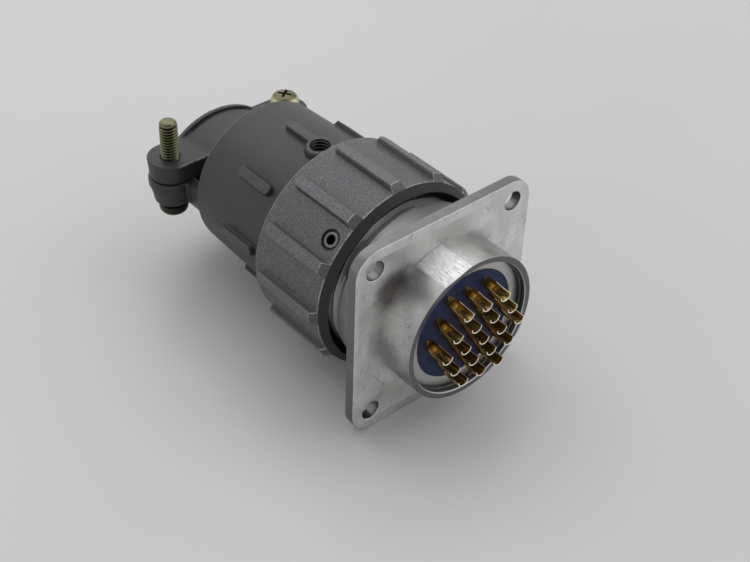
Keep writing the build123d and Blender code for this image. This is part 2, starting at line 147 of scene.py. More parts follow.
class Tree:
    """Any node tree, filled by one method."""

    def __init__(self, tree):
        self.nodes = tree.nodes
        self.links = tree.links
        self.nodes.clear()

    def node(self, kind, settings=None, inputs=None, output=0):
        made = self.nodes.new(kind)
        for name, value in (settings or {}).items():
            setattr(made, name, value)
        for name, value in (inputs or {}).items():
            if isinstance(value, Value):
                self.links.new(value.socket, made.inputs[name])
            else:
                made.inputs[name].default_value = value
        return Value(self, made.outputs[output])

    def end(self, kind, shader):
        self.links.new(shader.socket, self.nodes.new(kind).inputs["Surface"])

    def scaled(self, vector, factors):
        return self.node("ShaderNodeVectorMath", {"operation": "MULTIPLY"}, {0: vector, 1: factors})

    def joined(self, x, y, z):
        return self.node("ShaderNodeCombineXYZ", {}, {0: x, 1: y, 2: z})

    def mix(self, share, first, second):
        """Colour that goes from first to second as share goes from 0 to 1."""
        inputs = {"Factor": share, MIX_FIRST: colour(first), MIX_SECOND: colour(second)}
        return self.node("ShaderNodeMix", {"data_type": "RGBA"}, inputs, MIX_RESULT)

    def layered(self, shade, *layers):
        """A shade after each (share, colour) has been laid over it."""
        for share, tone in layers:
            shade = self.mix(share, shade, tone)
        return shade


# %% A finish and its patterns
class Finish(Tree):
    """A material built from expressions, with one Principled shader at its end."""

    def __init__(self, name, slot):
        self.material = bpy.data.materials.new(name)
        self.material.use_nodes = True
        self.slot = slot
        super().__init__(self.material.node_tree)
        place = self.node("ShaderNodeTexCoord", output="Object")
        self.place = self.scaled(place, (1 / MM, 1 / MM, 1 / MM))
        split = self.node("ShaderNodeSeparateXYZ", {}, {0: self.place}, "X").socket.node
        self.x, self.y, self.z = (Value(self, socket) for socket in split.outputs)
        self.radius = distance(self.y, self.z)

    def outward(self, angle):
        """Distance from the axis, measured along one angle."""
        return self.y * math.cos(angle) + self.z * math.sin(angle)

    def beside(self, angle):
        """Distance to the side of the plane through the axis at that angle."""
        return self.z * math.cos(angle) - self.y * math.sin(angle)

    def from_hole(self, angle, x):
        """Distance from the axis of a hole that runs inward at that angle and place."""
        return distance(self.beside(angle), self.x - x)

    def noise(self, size, detail=2.0, stretch=(1, 1, 1), place=None, roughness=0.5):
        """Noise whose blobs are about size millimetres across, stretched along each axis."""
        factors = tuple(1 / (size * way) for way in stretch)
        vector = self.scaled(place or self.place, factors)
        inputs = {"Vector": vector, "Scale": 1.0, "Detail": detail, "Roughness": roughness}
        return self.node("ShaderNodeTexNoise", {}, inputs)

    def bump(self, height, depth, strength):
        """Relief of height times depth millimetres."""
        inputs = {"Height": height, "Distance": depth * MM, "Strength": strength}
        return self.node("ShaderNodeBump", {}, inputs)

    def finish(self, **sockets):
        inputs = {name.replace("_", " "): value for name, value in sockets.items()}
        self.end("ShaderNodeOutputMaterial", self.node("ShaderNodeBsdfPrincipled", {}, inputs))


# %% [markdown]
# ## Bright machined aluminium
#
# The receptacle is turned, so its marks run round the axis: rings on a face, hoops on a
# cylinder. A noise read along the radius plus the place along the axis gives both at once,
# where a painted image would smear on the corners. The barrel's flat is milled afterwards,
# so its marks run straight. Handling left scratches in three directions. Light is painted
# in as well: shade on the collar and in the bore, a highlight on the flat near the flange,
# and a dark patch on the flange beside the barrel that paints the barrel's shaded side
# mirrored in the face.


# %% Turned aluminium
DARK_REFLECTION_Y, DARK_REFLECTION_Z, MARK_SIZE, PAST_COLLAR = -11.2, 8.8, 0.12, 17.0
SCRATCHES = ((0.55, 3.0), (2.2, 9.0), (1.35, 17.0))  # angle and seed of each direction


def tool_marks(finish):
    """Noise that changes across a lathe's marks and hardly along them."""
    place = finish.joined(finish.radius + finish.x * 1.7, finish.y * 0.02, finish.z * 0.02)
    return finish.noise(MARK_SIZE, detail=4.0, place=place, roughness=0.65)


def scratches(finish, angle, seed):
    """Thin straight scratches that run along an angle in the flange's plane."""
    place = finish.joined(finish.outward(angle) * 0.03, finish.beside(angle), finish.x * 0.5 + seed)
    return finish.noise(0.16, detail=1.0, place=place).between(0.66, 0.71)


machined = Finish("machined_aluminium", "machined_shell")
scored = sum(scratches(machined, angle, seed) for angle, seed in SCRATCHES)
scored = scored * machined.noise(6.0).between(0.42, 0.58)
smudge = machined.noise(5.0, detail=3.0)
speck = machined.noise(0.5, detail=3.0).between(0.71, 0.75)
milling = machined.noise(0.2, detail=4.0, stretch=(7, 1, 1), roughness=0.75)
on_flat = machined.outward(FLAT_ANGLE).between(FLAT_PLANE - 0.04, FLAT_PLANE - 0.01)
on_flat = on_flat * machined.radius.under(BARREL_RADIUS - 0.02, BARREL_RADIUS + 0.02)
on_flat = on_flat * machined.x.between(0.05, 0.1)
normal = machined.node("ShaderNodeTexCoord", output="Normal")
normal_x = machined.node("ShaderNodeSeparateXYZ", {}, {0: normal}, "X")
sideways = abs(normal_x).under(0.45, 0.8)
on_edge = sideways * machined.radius.between(PAST_COLLAR, PAST_COLLAR + 0.5)
on_rim = machined.x.between(RIM_X - 0.12, RIM_X - 0.02) * machined.radius.between(BORE - 0.2, BORE)
on_collar = machined.x.under(-FLANGE_THICK - 0.2, -FLANGE_THICK - 0.02)
# painted shade: the bore wall between the washer's step and the rim is darkened
bore_shade = machined.x.band(BORE_STEP - 0.15, BORE_STEP - 0.05, RIM_X - 0.25, RIM_X - 0.1)
bore_shade = bore_shade * machined.radius.under(GROOVE + 0.05, GROOVE + 0.1)
# painted reflection: a dark brownish patch on the flange face left of the barrel, where the face mirrors
# the barrel's shaded side
from_dark_reflection = distance(machined.y - DARK_REFLECTION_Y, machined.z - DARK_REFLECTION_Z) + smudge * 3.0 - 1.5
dark_reflection = from_dark_reflection.under(1.8, 4.9) * (1 - sideways)
face_shade = machined.mix(smudge.between(0.35, 0.7), (0.66, 0.66, 0.65), (0.79, 0.79, 0.78))
hoop_shade = machined.mix(smudge.between(0.3, 0.75), (0.31, 0.31, 0.305), (0.50, 0.50, 0.49))
# milling streaks on the flat, then a painted highlight that lightens it near the flange
milled_tone_and_highlight = machined.layered(
    (0.42, 0.42, 0.42), (milling.between(0.35, 0.65), (0.86, 0.86, 0.85)),
    (0.5 - machined.x.between(0.5, 5.5) * 0.5, (0.95, 0.95, 0.94)))
machined.finish(
    Base_Color=machined.layered(
        face_shade, (sideways, hoop_shade), (on_flat, milled_tone_and_highlight),
        # painted shade: the collar between the flange and the nut is darkened, more on its +Y side
        (on_collar * (0.5 + 0.45 * machined.y.between(-9, 1)), (0.12, 0.12, 0.125)),
        (dark_reflection * 0.85, (0.11, 0.092, 0.088)),
        (on_edge * 0.8, (0.13, 0.13, 0.13)),
        (on_rim * 0.85, (0.08, 0.08, 0.09)),
        (bore_shade * 0.9, (0.07, 0.07, 0.075)),
        (speck * 0.7 + scored * 0.5 * (1 - on_flat), (0.10, 0.10, 0.10))),
    Metallic=1.0,
    Roughness=(0.37 - sideways * 0.07 + smudge * 0.10 + on_rim * 0.15 + on_flat * 0.12
               + on_collar * 0.1),
    Normal=machined.bump(tool_marks(machined) * (1 - on_flat) + milling * on_flat * 4.0, 0.004, 0.7),
)

# %% [markdown]
# ## Cast grey coating
#
# The nut, the backshell and the clamp are die-cast, with a dull grey coat. The nut shows
# grains about a fifth of a millimetre across and the backshell is smoother, so one function
# takes the grain as its argument. Worn edges show bare metal as a thin bright line, and rib
# crests get a painted highlight the same way. The nut's mouth bevel is blackened, and the
# inside of the mouth, the dish round the set screw and the foot and flanks of every rib get
# painted shade in the same near-black tone. The caller hands in a mask for each.


# %% Cast grey
def cast_grey(name, tone, grain):
    """A finish with its speckle measured, but no shader yet."""
    finish = Finish(name, "cast_grey")
    finish.fine = finish.noise(0.17, detail=3.0, roughness=0.75).between(0.34, 0.70)
    finish.broad = finish.noise(4.0, detail=3.0)
    light = tuple((1.5 + 1.1 * grain) * part for part in tone)
    dark = tuple((1 - 0.65 * grain) * part for part in tone)
    finish.coat = finish.mix(finish.fine * grain + finish.broad * 0.25, dark, light)
    finish.grain = grain
    return finish


def coated(finish, worn_and_highlight, black_and_shade):
    """Ends a cast finish with its rubbed edges and painted highlights, then its blackened places and
    painted shade.
    """
    # the bright layer carries wear and painted highlights, the dark layer real blackening and painted
    # shade
    bare_and_highlight = worn_and_highlight * finish.noise(0.5, detail=3.0).between(0.3, 0.55)
    finish.finish(
        Base_Color=finish.layered(
            finish.coat, (black_and_shade, (0.006, 0.006, 0.008)), (bare_and_highlight, (0.42, 0.42, 0.43))),
        Metallic=0.35 - black_and_shade * 0.35,
        Roughness=0.40 + finish.broad * 0.12 + black_and_shade * 0.2,
        Normal=finish.bump(finish.fine * finish.grain + finish.broad * 0.4, 0.03, 0.5),
    )


nut_grey = cast_grey("cast_grey_nut", (0.066, 0.067, 0.070), 1.0)
height = nut_grey.radius - NUT_RADIUS
to_bevel = nut_grey.radius + nut_grey.x - (LIP + NUT_FRONT)
off_bevel = to_bevel.under(-0.5, -0.3)
front_edge = to_bevel.band(-0.34, -0.22, -0.10, -0.04)
rear_edge = nut_grey.x.under(NUT_REAR + 0.15, NUT_REAR + 0.34) * height.between(-0.4, -0.2)
bevel = to_bevel.between(-0.10, -0.03) * height.under(-0.08, 0.1)
# painted shade: the inside of the nut's mouth, past the bevel, is painted near-black
throat_shade = nut_grey.radius.under(LIP - 0.1, LIP + 0.02) * nut_grey.x.between(-20, -18)
# painted shade: the dish round the set screw is painted near-black
dish_shade = nut_grey.from_hole(SCREW_ANGLE, SCREW_X).under(DISH - 0.03, DISH + 0.07)
# painted shade: the foot and flanks of each of the nut's ribs are darkened
rib_foot_shade = height.band(0.04, 0.18, 0.65, 0.95) * off_bevel
# painted highlight: the crests of the nut's ribs are lightened like worn edges
rib_crest_highlight = height.between(0.9, 1.06) * off_bevel
coated(nut_grey, front_edge * 0.7 + rear_edge * 0.6 + rib_crest_highlight * 0.11,
       bevel * 0.9 + throat_shade + dish_shade + rib_foot_shade * 0.6)

RIBBED_FROM = -42.0
shell_grey = cast_grey("cast_grey_backshell", (0.040, 0.041, 0.043), 0.45)
height = shell_grey.radius - SHELL_RADIUS
ribbed = shell_grey.x.between(RIBBED_FROM, RIBBED_FROM + 0.1)
lug_edge = (shell_grey.x - CLAMP_FRONT).band(-0.28, -0.14, 0.1, 0.2)
lug_edge = lug_edge * shell_grey.z.between(LUG_TOP - 0.45, LUG_TOP - 0.25)
rear_line = (shell_grey.x - SHELL_REAR).band(0, 0.2, 0.4, 0.6)
rear_line = rear_line * (shell_grey.radius - SHELL_END_RADIUS).between(-0.6, -0.4)
# painted shade: the foot and flanks of each of the backshell's ribs are darkened
rib_foot_shade = height.band(0.02, 0.16, 0.6, 0.85) * ribbed
# painted highlight: the crests of the backshell's ribs are lightened like worn edges
rib_crest_highlight = height.between(0.8, 0.95) * ribbed
coated(shell_grey, lug_edge * 0.6 + rear_line * 0.35 + rib_crest_highlight * 0.06, rib_foot_shade * 0.85)

# %% [markdown]
# ## Gold, silver, blue moulding, zinc and the rest
#
# Plating is thin and follows what is under it: gold keeps a faint drag mark from turning,
# yellow zinc drifts between straw and green. Each finish is a few lines, since each has one
# thing that makes it itself.

# %% Small finishes
gold = Finish("gold_plate", "gold_contact")
gold_cloud = gold.noise(1.4, detail=3.0)
in_wall = gold.radius.between(CUP_INNER + 0.01, CUP_INNER + 0.04)
# painted shade: the inside of each cup is darkened
hollow_shade = (1 - in_wall) * gold.x.between(CUP_FLOOR - 0.3, CUP_FLOOR - 0.1)
# painted highlight: the lips of each cup's cut, brighter on the +Y side, and its tip face are painted
# near-white and made rougher
lip_highlight = in_wall * gold.radius.under(CUP_OUTER - 0.05, CUP_OUTER - 0.02)
lip_highlight = lip_highlight * gold.x.between(CUP_FLOOR + 0.4, CUP_FLOOR + 0.9) * gold.z.between(-0.06, -0.03)
lip_highlight = lip_highlight * (0.25 + gold.y.between(0, 0.2) * 0.5)
lip_highlight = lip_highlight.math("MAXIMUM", lip_highlight, gold.x.between(CUP_TIP - 0.06, CUP_TIP - 0.02))
gold.finish(
    Base_Color=gold.layered(
        (0.56, 0.38, 0.11), (gold_cloud.between(0.3, 0.7), (0.96, 0.72, 0.30)),
        (hollow_shade * 0.8, (0.36, 0.25, 0.07)), (lip_highlight, (1.0, 0.95, 0.80))),
    Metallic=1.0,
    Roughness=0.12 + gold_cloud * 0.14 + lip_highlight * 0.25,
    Normal=gold.bump(gold.noise(0.16, stretch=(0.35, 1, 1)), 0.006, 0.6),
)

silver = Finish("silver_plate", "silver_plate")
silver.finish(
    Base_Color=silver.mix(silver.noise(2.0), (0.42, 0.42, 0.41), (0.58, 0.58, 0.56)),
    Metallic=0.9,
    Roughness=0.34 + silver.noise(1.0) * 0.12,
    Normal=silver.bump(tool_marks(silver), 0.004, 0.5),
)

blue = Finish("blue_moulding", "insulator")
blue_flow = blue.noise(3.0, detail=4.0)
blue.finish(
    Base_Color=blue.mix(blue_flow, (0.004, 0.012, 0.045), (0.008, 0.026, 0.10)),
    Roughness=0.34 + blue_flow * 0.15,
    Specular_IOR_Level=0.25,
    Normal=blue.bump(blue.noise(0.3, detail=3.0), 0.01, 0.4),
)

zinc = Finish("yellow_zinc", "zinc_screw")
zinc_cloud = zinc.noise(1.1, detail=3.0)
from_axis = distance(abs(zinc.y) - LUG_Y, zinc.x - CLAMP_MIDDLE)
right_side = zinc.y.between(-0.1, 0.1)
on_shank = right_side * zinc.z.under(RIGHT_SEAT - 0.1, RIGHT_SEAT - 0.02)
on_shank = on_shank + (1 - right_side) * zinc.z.between(LEFT_SEAT + 0.02, LEFT_SEAT + 0.1)
tip_z = LEFT_SEAT + SCREW_LENGTH
# painted shade: the roots of the shank's thread are darkened
thread_groove_shade = on_shank * from_axis.under(SCREW_CREST - 0.24, SCREW_CREST - 0.05)
thread_groove_shade = thread_groove_shade * zinc.z.under(tip_z - 0.6, tip_z - 0.55)
shank_tone = on_shank * from_axis.under(SCREW_CREST + 0.05, SCREW_CREST + 0.3)
dome = from_axis.under(HEAD_RADIUS - 0.7, HEAD_RADIUS - 0.3) * (1 - on_shank)
# painted shade: the left screw's head, under the clamp, is painted near-black
left_head_shade = (1 - right_side) * (1 - on_shank)
zinc.finish(
    Base_Color=zinc.layered(
        (0.34, 0.35, 0.20), (zinc_cloud.between(0.3, 0.7), (0.62, 0.56, 0.32)),
        (shank_tone * 0.85, (0.105, 0.11, 0.062)), (dome * 0.85, (0.085, 0.08, 0.045)),
        (left_head_shade * 0.95, (0.02, 0.02, 0.016)), (thread_groove_shade * 0.9, (0.02, 0.022, 0.012))),
    Metallic=1.0,
    Roughness=0.24 + zinc_cloud * 0.16,
    Normal=zinc.bump(zinc.noise(0.2, detail=3.0), 0.008, 0.4),
)

spring = Finish("spring_steel", "spring_steel")
spring.finish(
    Base_Color=spring.mix(spring.noise(1.5), (0.05, 0.05, 0.055), (0.14, 0.14, 0.145)),
    Metallic=1.0,
    Roughness=0.32 + spring.noise(0.6) * 0.1,
)

black_steel = Finish("oiled_steel", "screw_steel")
# painted shade: the hex socket is darkened, and every other place on this finish slightly
socket_shade = 1 - black_steel.from_hole(SCREW_ANGLE, SCREW_X).between(0.80, 1.15) * 0.85
# painted shade: the roots of the tapped thread in the boss are darkened
tap_root_shade = black_steel.from_hole(BOSS_ANGLE, BOSS_X).between(TAP_CREST + 0.01, TAP_CREST + 0.1)
tap_root_shade = tap_root_shade * black_steel.x.under(BOSS_X + 2.2, BOSS_X + 3.2)
steel_shade = black_steel.mix(black_steel.noise(0.8), (0.15, 0.15, 0.145), (0.30, 0.30, 0.285))
black_steel.finish(
    Base_Color=black_steel.mix((socket_shade + tap_root_shade) * 0.95, steel_shade, (0.012, 0.012, 0.012)),
    Metallic=1.0,
    Roughness=0.28 + black_steel.noise(0.5) * 0.15,
)

seal = Finish("seal_rubber", "seal_rubber")
seal.finish(
    Base_Color=seal.mix(seal.noise(2.0), (0.012, 0.012, 0.012), (0.03, 0.03, 0.03)),
    Roughness=0.7 + seal.noise(0.4) * 0.15,
)
print(len(bpy.data.materials), "materials")

# %% [markdown]
# ## Dressing what stays
#
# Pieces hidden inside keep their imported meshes, which are exact, and only take a finish.
# Later cells replace the ones that show.

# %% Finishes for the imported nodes
finishes = (machined, shell_grey, blue, gold, silver, spring, black_steel, zinc, seal)
finish_of_slot = {finish.slot: finish for finish in finishes}
slot_of_node = {row["node"]: row["material_slot"] for row in frame["record"]["subparts"]}
for name, node in frame["nodes"].items():
    node.data.materials.clear()
    node.data.materials.append(finish_of_slot[slot_of_node[name]].material)

# %% [markdown]
# ## Spinning a section into a piece
#
# Every round piece is a closed outline of stations. A station is a place along the axis and
# a radius, and either may change with the angle, so one helper makes a plain washer, a
# barrel with a flat, a ribbed nut and a thread. Corners are first rounded by a hair, because
# a real edge catches light and a perfect one never does.


# %% Outlines and spun pieces
def rounded(outline, radius, steps=4):
    """Closed outline of (x, radius) with its corners eased by about that many millimetres."""
    eased = []
    count = len(outline)
    for place in range(count):
        corner = np.array(outline[place], float)
        before = np.array(outline[place - 1], float) - corner
        after = np.array(outline[(place + 1) % count], float) - corner
        reach = [min(radius, 0.45 * np.linalg.norm(way)) for way in (before, after)]
        start = corner + before * reach[0] / np.linalg.norm(before)
        end = corner + after * reach[1] / np.linalg.norm(after)
        for step in range(steps + 1):
            share = step / steps
            eased.append((1 - share) ** 2 * start + 2 * share * (1 - share) * corner + share**2 * end)
    return eased


def arc_end(rear, radius, reach, first, steps):
    """Rounded rear corner of an outline, from a first angle to a quarter turn."""
    return [(rear + reach * (1 - math.sin(t)), radius - reach * (1 - math.cos(t)))
            for t in np.linspace(first, math.pi / 2, steps)]


def in_scene(name, data):
    """A new object of the scene."""
    made = bpy.data.objects.new(name, data)
    bpy.context.scene.collection.objects.link(made)
    return made


def raw_mesh(points, faces):
    """Mesh from points in millimetres."""
    mesh = bpy.data.meshes.new("mesh")
    mesh.from_pydata((np.asarray(points, float) * MM).tolist(), [], faces)
    return mesh


def cleaned(mesh):
    """Merges points that meet, drops stray edges and turns every face outward."""
    form = bmesh.new()
    form.from_mesh(mesh)
    bmesh.ops.remove_doubles(form, verts=form.verts, dist=SAME_PLACE)
    stray = [edge for edge in form.edges if not edge.link_faces]
    bmesh.ops.delete(form, geom=stray, context="EDGES")
    bmesh.ops.recalc_face_normals(form, faces=form.faces)
    form.to_mesh(mesh)
    form.free()
    return mesh


def finished_piece(name, mesh, body, finish, stands_for, crease=38):
    """Shades a mesh smooth up to its creases, and lets it ride on its body."""
    cleaned(mesh).shade_smooth()
    mesh.set_sharp_from_angle(angle=math.radians(crease))
    mesh.materials.clear()
    mesh.materials.append(finish.material)
    piece = in_scene(name, mesh)
    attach(piece, body)
    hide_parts(*stands_for)
    return piece


def spun(stations, angles):
    """Points and faces of a closed outline spun about X. Stations are (x, radius) pairs."""
    turns = len(angles)
    xs = np.array([np.broadcast_to(x, turns) for x, _ in stations], float)
    radii = np.array([np.broadcast_to(r, turns) for _, r in stations], float)
    points = np.stack([xs, radii * np.cos(angles), radii * np.sin(angles)], -1).reshape(-1, 3)
    count = len(stations)
    faces = []
    for row in range(count):
        low, high = row * turns, (row + 1) % count * turns
        for turn in range(turns):
            after = (turn + 1) % turns
            faces.append((low + turn, low + after, high + after, high + turn))
    return points, faces


def round_angles(count):
    return np.linspace(0, 2 * np.pi, count, endpoint=False)


def turned_piece(name, outline, finish, stands_for, ease=0.1):
    mesh = raw_mesh(*spun(rounded(outline, ease), round_angles(192)))
    finished_piece(name, mesh, "receptacle", finish, stands_for)


# %% [markdown]
# ## The flange
#
# A plate with five holes is what Blender's 2D curves are good at: the outline and the holes
# are splines, the curve fills between them, and its own bevel rounds every edge evenly.
# Cutting holes with booleans would leave long thin faces that shade badly.

# %% Flange plate
FLANGE_HALF, FLANGE_CORNER, EDGE, HOLE_SPOT, HOLE_RADIUS = 19.0, 4.4, 0.16, 15.0, 1.8


def rounded_square(half, corner, steps=14):
    points, middle = [], half - corner
    for quarter, (y, z) in enumerate(((1, 1), (-1, 1), (-1, -1), (1, -1))):
        for step in range(steps + 1):
            turn = math.radians(90 * quarter + 90 * step / steps)
            points.append((y * middle + corner * math.cos(turn), z * middle + corner * math.sin(turn)))
    return points


def circle(cy, cz, radius, steps=64):
    turns = [2 * math.pi * step / steps for step in range(steps)]
    return [(cy + radius * math.cos(turn), cz + radius * math.sin(turn)) for turn in turns]


loops = [rounded_square(FLANGE_HALF - EDGE, FLANGE_CORNER), circle(0, 0, BARREL_RADIUS - 0.4, 128)]
sides = (-HOLE_SPOT, HOLE_SPOT)
loops += [circle(y, z, HOLE_RADIUS + EDGE) for y in sides for z in sides]
curve = bpy.data.curves.new("flange", "CURVE")
curve.dimensions, curve.fill_mode, curve.bevel_resolution = "2D", "BOTH", 3
curve.extrude, curve.bevel_depth = (FLANGE_THICK / 2 - EDGE) * MM, EDGE * MM
for loop in loops:
    spline = curve.splines.new("POLY")
    spline.points.add(len(loop) - 1)
    for point, (y, z) in zip(spline.points, loop):
        point.co = (y * MM, z * MM, 0, 1)
    spline.use_cyclic_u = True
holder = bpy.data.objects.new("flange", curve)
flange_mesh = bpy.data.meshes.new_from_object(holder)
bpy.data.objects.remove(holder)
AXES_YZX = Matrix(((0, 0, 1, -FLANGE_THICK / 2 * MM), (1, 0, 0, 0), (0, 1, 0, 0), (0, 0, 0, 1)))
flange_mesh.transform(AXES_YZX)
finished_piece("flange_plate", flange_mesh, "receptacle", machined, ["receptacle_shell"], crease=30)
print("flange plate", len(flange_mesh.polygons), "faces")

# %% [markdown]
# ## Barrel, collar and coupling thread
#
# Wherever the barrel's round radius would stand above the milled flat, the distance to the
# flat's plane wins. The thread is a triangle wave along the axis that shifts by one pitch
# for each turn, and three slots in the bore let the plug's keys in.

# %% Turned body of the receptacle
THREAD_PITCH, THREAD_DEPTH, THREAD_CREST = 1.5, 0.75, 14.98
COLLAR_END, THREAD_START, SHELL_END = -8.5, -9.3, -20.6
CAVITY, SLOT_DEPTH, SLOT_FLOOR = 13.0, 0.85, -5.0
KEYS = ((90, 3.1), (222, 1.9), (318, 1.9))


def with_flat(radius, angles):
    across = np.cos(angles - FLAT_ANGLE)
    plane = FLAT_PLANE / np.where(across > 0.5, across, 1)
    return np.where(across > 0.5, np.minimum(radius, plane), radius)


def with_slots(radius, angles):
    """The bore's radius, deeper inside the three key slots."""
    for angle, width in KEYS:
        turn = np.mod(angles - math.radians(angle) + np.pi, 2 * np.pi) - np.pi
        radius = np.where(np.abs(turn) < width / 2 / CAVITY, CAVITY + SLOT_DEPTH, radius)
    return radius


def helix_wave(x, angles, pitch):
    """0 at a thread's root and 1 at its crest, with the crest and root slightly flat."""
    phase = (x / pitch - angles / (2 * math.pi)) % 1.0
    wave = 1 - np.abs(2 * phase - 1)
    return np.clip(1.25 * wave - 0.12, 0, 1)


def thread_stations(start, end, crest, depth, pitch, angles, steps=14, lead=0.6):
    """Stations of a helical thread from start to end, fading out over its lead at both ends."""
    count = int(abs(end - start) / pitch * steps)
    stations = []
    for x in np.linspace(start, end, count):
        room = min(abs(x - start), abs(x - end)) / lead
        tip = crest - depth * (1 - min(room, 1))
        stations.append((x, np.minimum(tip, crest - depth * (1 - helix_wave(x, angles, pitch)))))
    return stations


# Extra angles crowd at the flat's borders and at the walls of the slots.
flat_half = math.acos(1 - FLAT_DEPTH / BARREL_RADIUS)
crowded = [(FLAT_ANGLE + side * flat_half, 0.1 * flat_half) for side in (-1, 1)]
crowded += [(math.radians(angle) + side * width / 2 / CAVITY, 0.002)
            for angle, width in KEYS for side in (-1, 1)]
extra = [middle + spread * share for middle, spread in crowded for share in np.linspace(-1, 1, 15)]
angles = np.unique(np.concatenate([round_angles(200), np.mod(extra, 2 * np.pi)]))
outer = rounded(
    [(RIM_X, 12.75), (RIM_X, BARREL_RADIUS), (-0.6, BARREL_RADIUS), (-0.6, 15.5), (COLLAR_END, 15.5),
     (COLLAR_END, 14.1), (THREAD_START, 14.1)], 0.16)
# The bore closes the rim's inner corner, and the thread takes over from the last corner.
front = [(x, with_flat(r, angles) if x > -0.05 else r) for x, r in outer[5:-8]]
thread = thread_stations(THREAD_START, SHELL_END, THREAD_CREST, THREAD_DEPTH, THREAD_PITCH, angles)
bore = [
    (SHELL_END, with_slots(CAVITY, angles)), (SLOT_FLOOR, with_slots(CAVITY, angles)),
    (SLOT_FLOOR + 0.02, CAVITY), (-4.0, CAVITY), (-4.0, 11.6), (-1.0, 11.6), (-1.0, BORE),
    (BORE_STEP, BORE), (BORE_STEP, GROOVE), (6.42, GROOVE), (6.42, BORE), (7.1, BORE), (RIM_X, 12.72)]
points, faces = spun(front + thread + bore, angles)
finished_piece("receptacle_body", raw_mesh(points, faces), "receptacle", machined,
               ["receptacle_shell"])
print("receptacle body", len(faces), "faces")

# %% [markdown]
# ## Disc, washer and snap ring in the barrel
#
# Inside the rim sit the blue disc, the silver washer that presses on its step, and the wire
# ring that holds both in. The ring is open, so it isn't spun: a short bar of wire is bent
# round in small steps and closed at both ends.

# %% What the barrel holds
turned_piece("insulator_disc",
             [(5.5, 0.0), (5.5, 10.3), (4.45, 10.3), (4.45, 12.45), (-0.95, 12.45), (-0.95, 11.55),
              (-4.2, 11.55), (-4.2, 0.0)], blue, ["receptacle_insulator"])
turned_piece("press_washer", [(5.6, 10.35), (5.6, 12.45), (4.5, 12.45), (4.5, 10.35)],
             silver, ["receptacle_washer"], ease=0.18)


def bent_bar(rows, section):
    """Faces of a bar of equal sections, closed at both ends."""
    faces = []
    for row in range(rows - 1):
        for place in range(section):
            low, after = row * section, (place + 1) % section
            faces.append((low + place, low + after, low + section + after, low + section + place))
    faces.append(tuple(range(section)))
    faces.append(tuple(range((rows - 1) * section, rows * section)))
    return faces


RING_X, RING_RADIUS, WIRE, RING_GAP, RING_STEPS, WIRE_STEPS = 6.0, 12.5, 0.36, 3.2, 160, 16
half_gap = RING_GAP / 2 / RING_RADIUS
points = []
for turn in np.linspace(-math.pi / 2 + half_gap, 1.5 * math.pi - half_gap, RING_STEPS):
    for around in round_angles(WIRE_STEPS):
        reach = RING_RADIUS + WIRE * math.cos(around)
        points.append((RING_X + WIRE * math.sin(around), reach * math.cos(turn), reach * math.sin(turn)))
ring_mesh = raw_mesh(points, bent_bar(RING_STEPS, WIRE_STEPS))
finished_piece("snap_ring_wire", ring_mesh, "receptacle", spring, ["receptacle_snap_ring"])

# %% [markdown]
# ## Solder cups
#
# A solder cup is a small tube with half its wall milled away, so a wire can be laid in and
# soldered. The tube is spun, the cutter is a prism, and one boolean makes the cup. All
# nineteen pieces share that mesh. The pin's front half reaches into the plug and shows when
# the halves part.


# %% Meshes to cut
def loose_mesh(points, faces):
    return cleaned(raw_mesh(points, faces))


def changed_mesh(holder):
    """Mesh of an object after its modifiers. The object itself goes."""
    bpy.context.view_layer.update()
    shaped = holder.evaluated_get(bpy.context.evaluated_depsgraph_get())
    mesh = bpy.data.meshes.new_from_object(shaped)
    bpy.data.objects.remove(holder)
    return mesh


def carved(mesh, cutters, operation="DIFFERENCE"):
    """The mesh after each cutter has been taken from it, or joined to it, exactly."""
    for cutter in cutters:
        base, tool = in_scene("carve_base", mesh), in_scene("carve_tool", cutter)
        change = base.modifiers.new("carve", "BOOLEAN")
        change.operation, change.object, change.solver = operation, tool, "EXACT"
        mesh = changed_mesh(base)
        bpy.data.objects.remove(tool)
    return mesh


def prism_mesh(outline, start, end, axis, top=None):
    """Bar whose section is an outline in the two other axes, in their own order."""
    others = [place for place in range(3) if place != axis]
    points = []
    for level, section in ((start, outline), (end, top or outline)):
        for a, b in section:
            point = [0.0, 0.0, 0.0]
            point[axis], point[others[0]], point[others[1]] = level, a, b
            points.append(point)
    count = len(outline)
    faces = [tuple(range(count)), tuple(range(count, 2 * count))]
    faces += [(n, (n + 1) % count, count + (n + 1) % count, count + n) for n in range(count)]
    return loose_mesh(points, faces)


# %% One contact, then nineteen
NECK_X, NECK, PIN_RADIUS, PIN_TIP, PIN_FOOT = 4.97, 0.84, 0.75, -12.4, -0.98
CONTACT_PITCH, CUP_EDGE = 4.05, 0.04
contact_outline = rounded(
    [(CUP_TIP, CUP_INNER), (CUP_TIP, CUP_OUTER), (8.0, CUP_OUTER), (7.0, 1.06), (6.2, 0.93), (5.5, NECK),
     (NECK_X, NECK), (NECK_X, CUP_OUTER), (PIN_FOOT, CUP_OUTER), (PIN_FOOT, PIN_RADIUS)], 0.06)
nose = [(PIN_TIP + PIN_RADIUS * (1 - math.sin(t)), PIN_RADIUS * math.cos(t))
        for t in np.linspace(0, math.pi / 2, 7)]
contact_outline += nose + [(CUP_FLOOR, 0.0), (CUP_FLOOR + 0.5, CUP_INNER)]
cup_mesh = loose_mesh(*spun(contact_outline, round_angles(48)))
scoop = [(CUP_TIP + 1, 0.0), (9.2, 0.0), (8.6, 0.05), (7.8, 0.18), (7.1, 0.36), (6.5, 0.52), (6.0, 0.66),
         (5.65, 0.82), (5.6, 2.0), (CUP_TIP + 1, 2.0)]
cup_mesh = carved(cup_mesh, [prism_mesh(scoop, -2, 2, axis=1)])
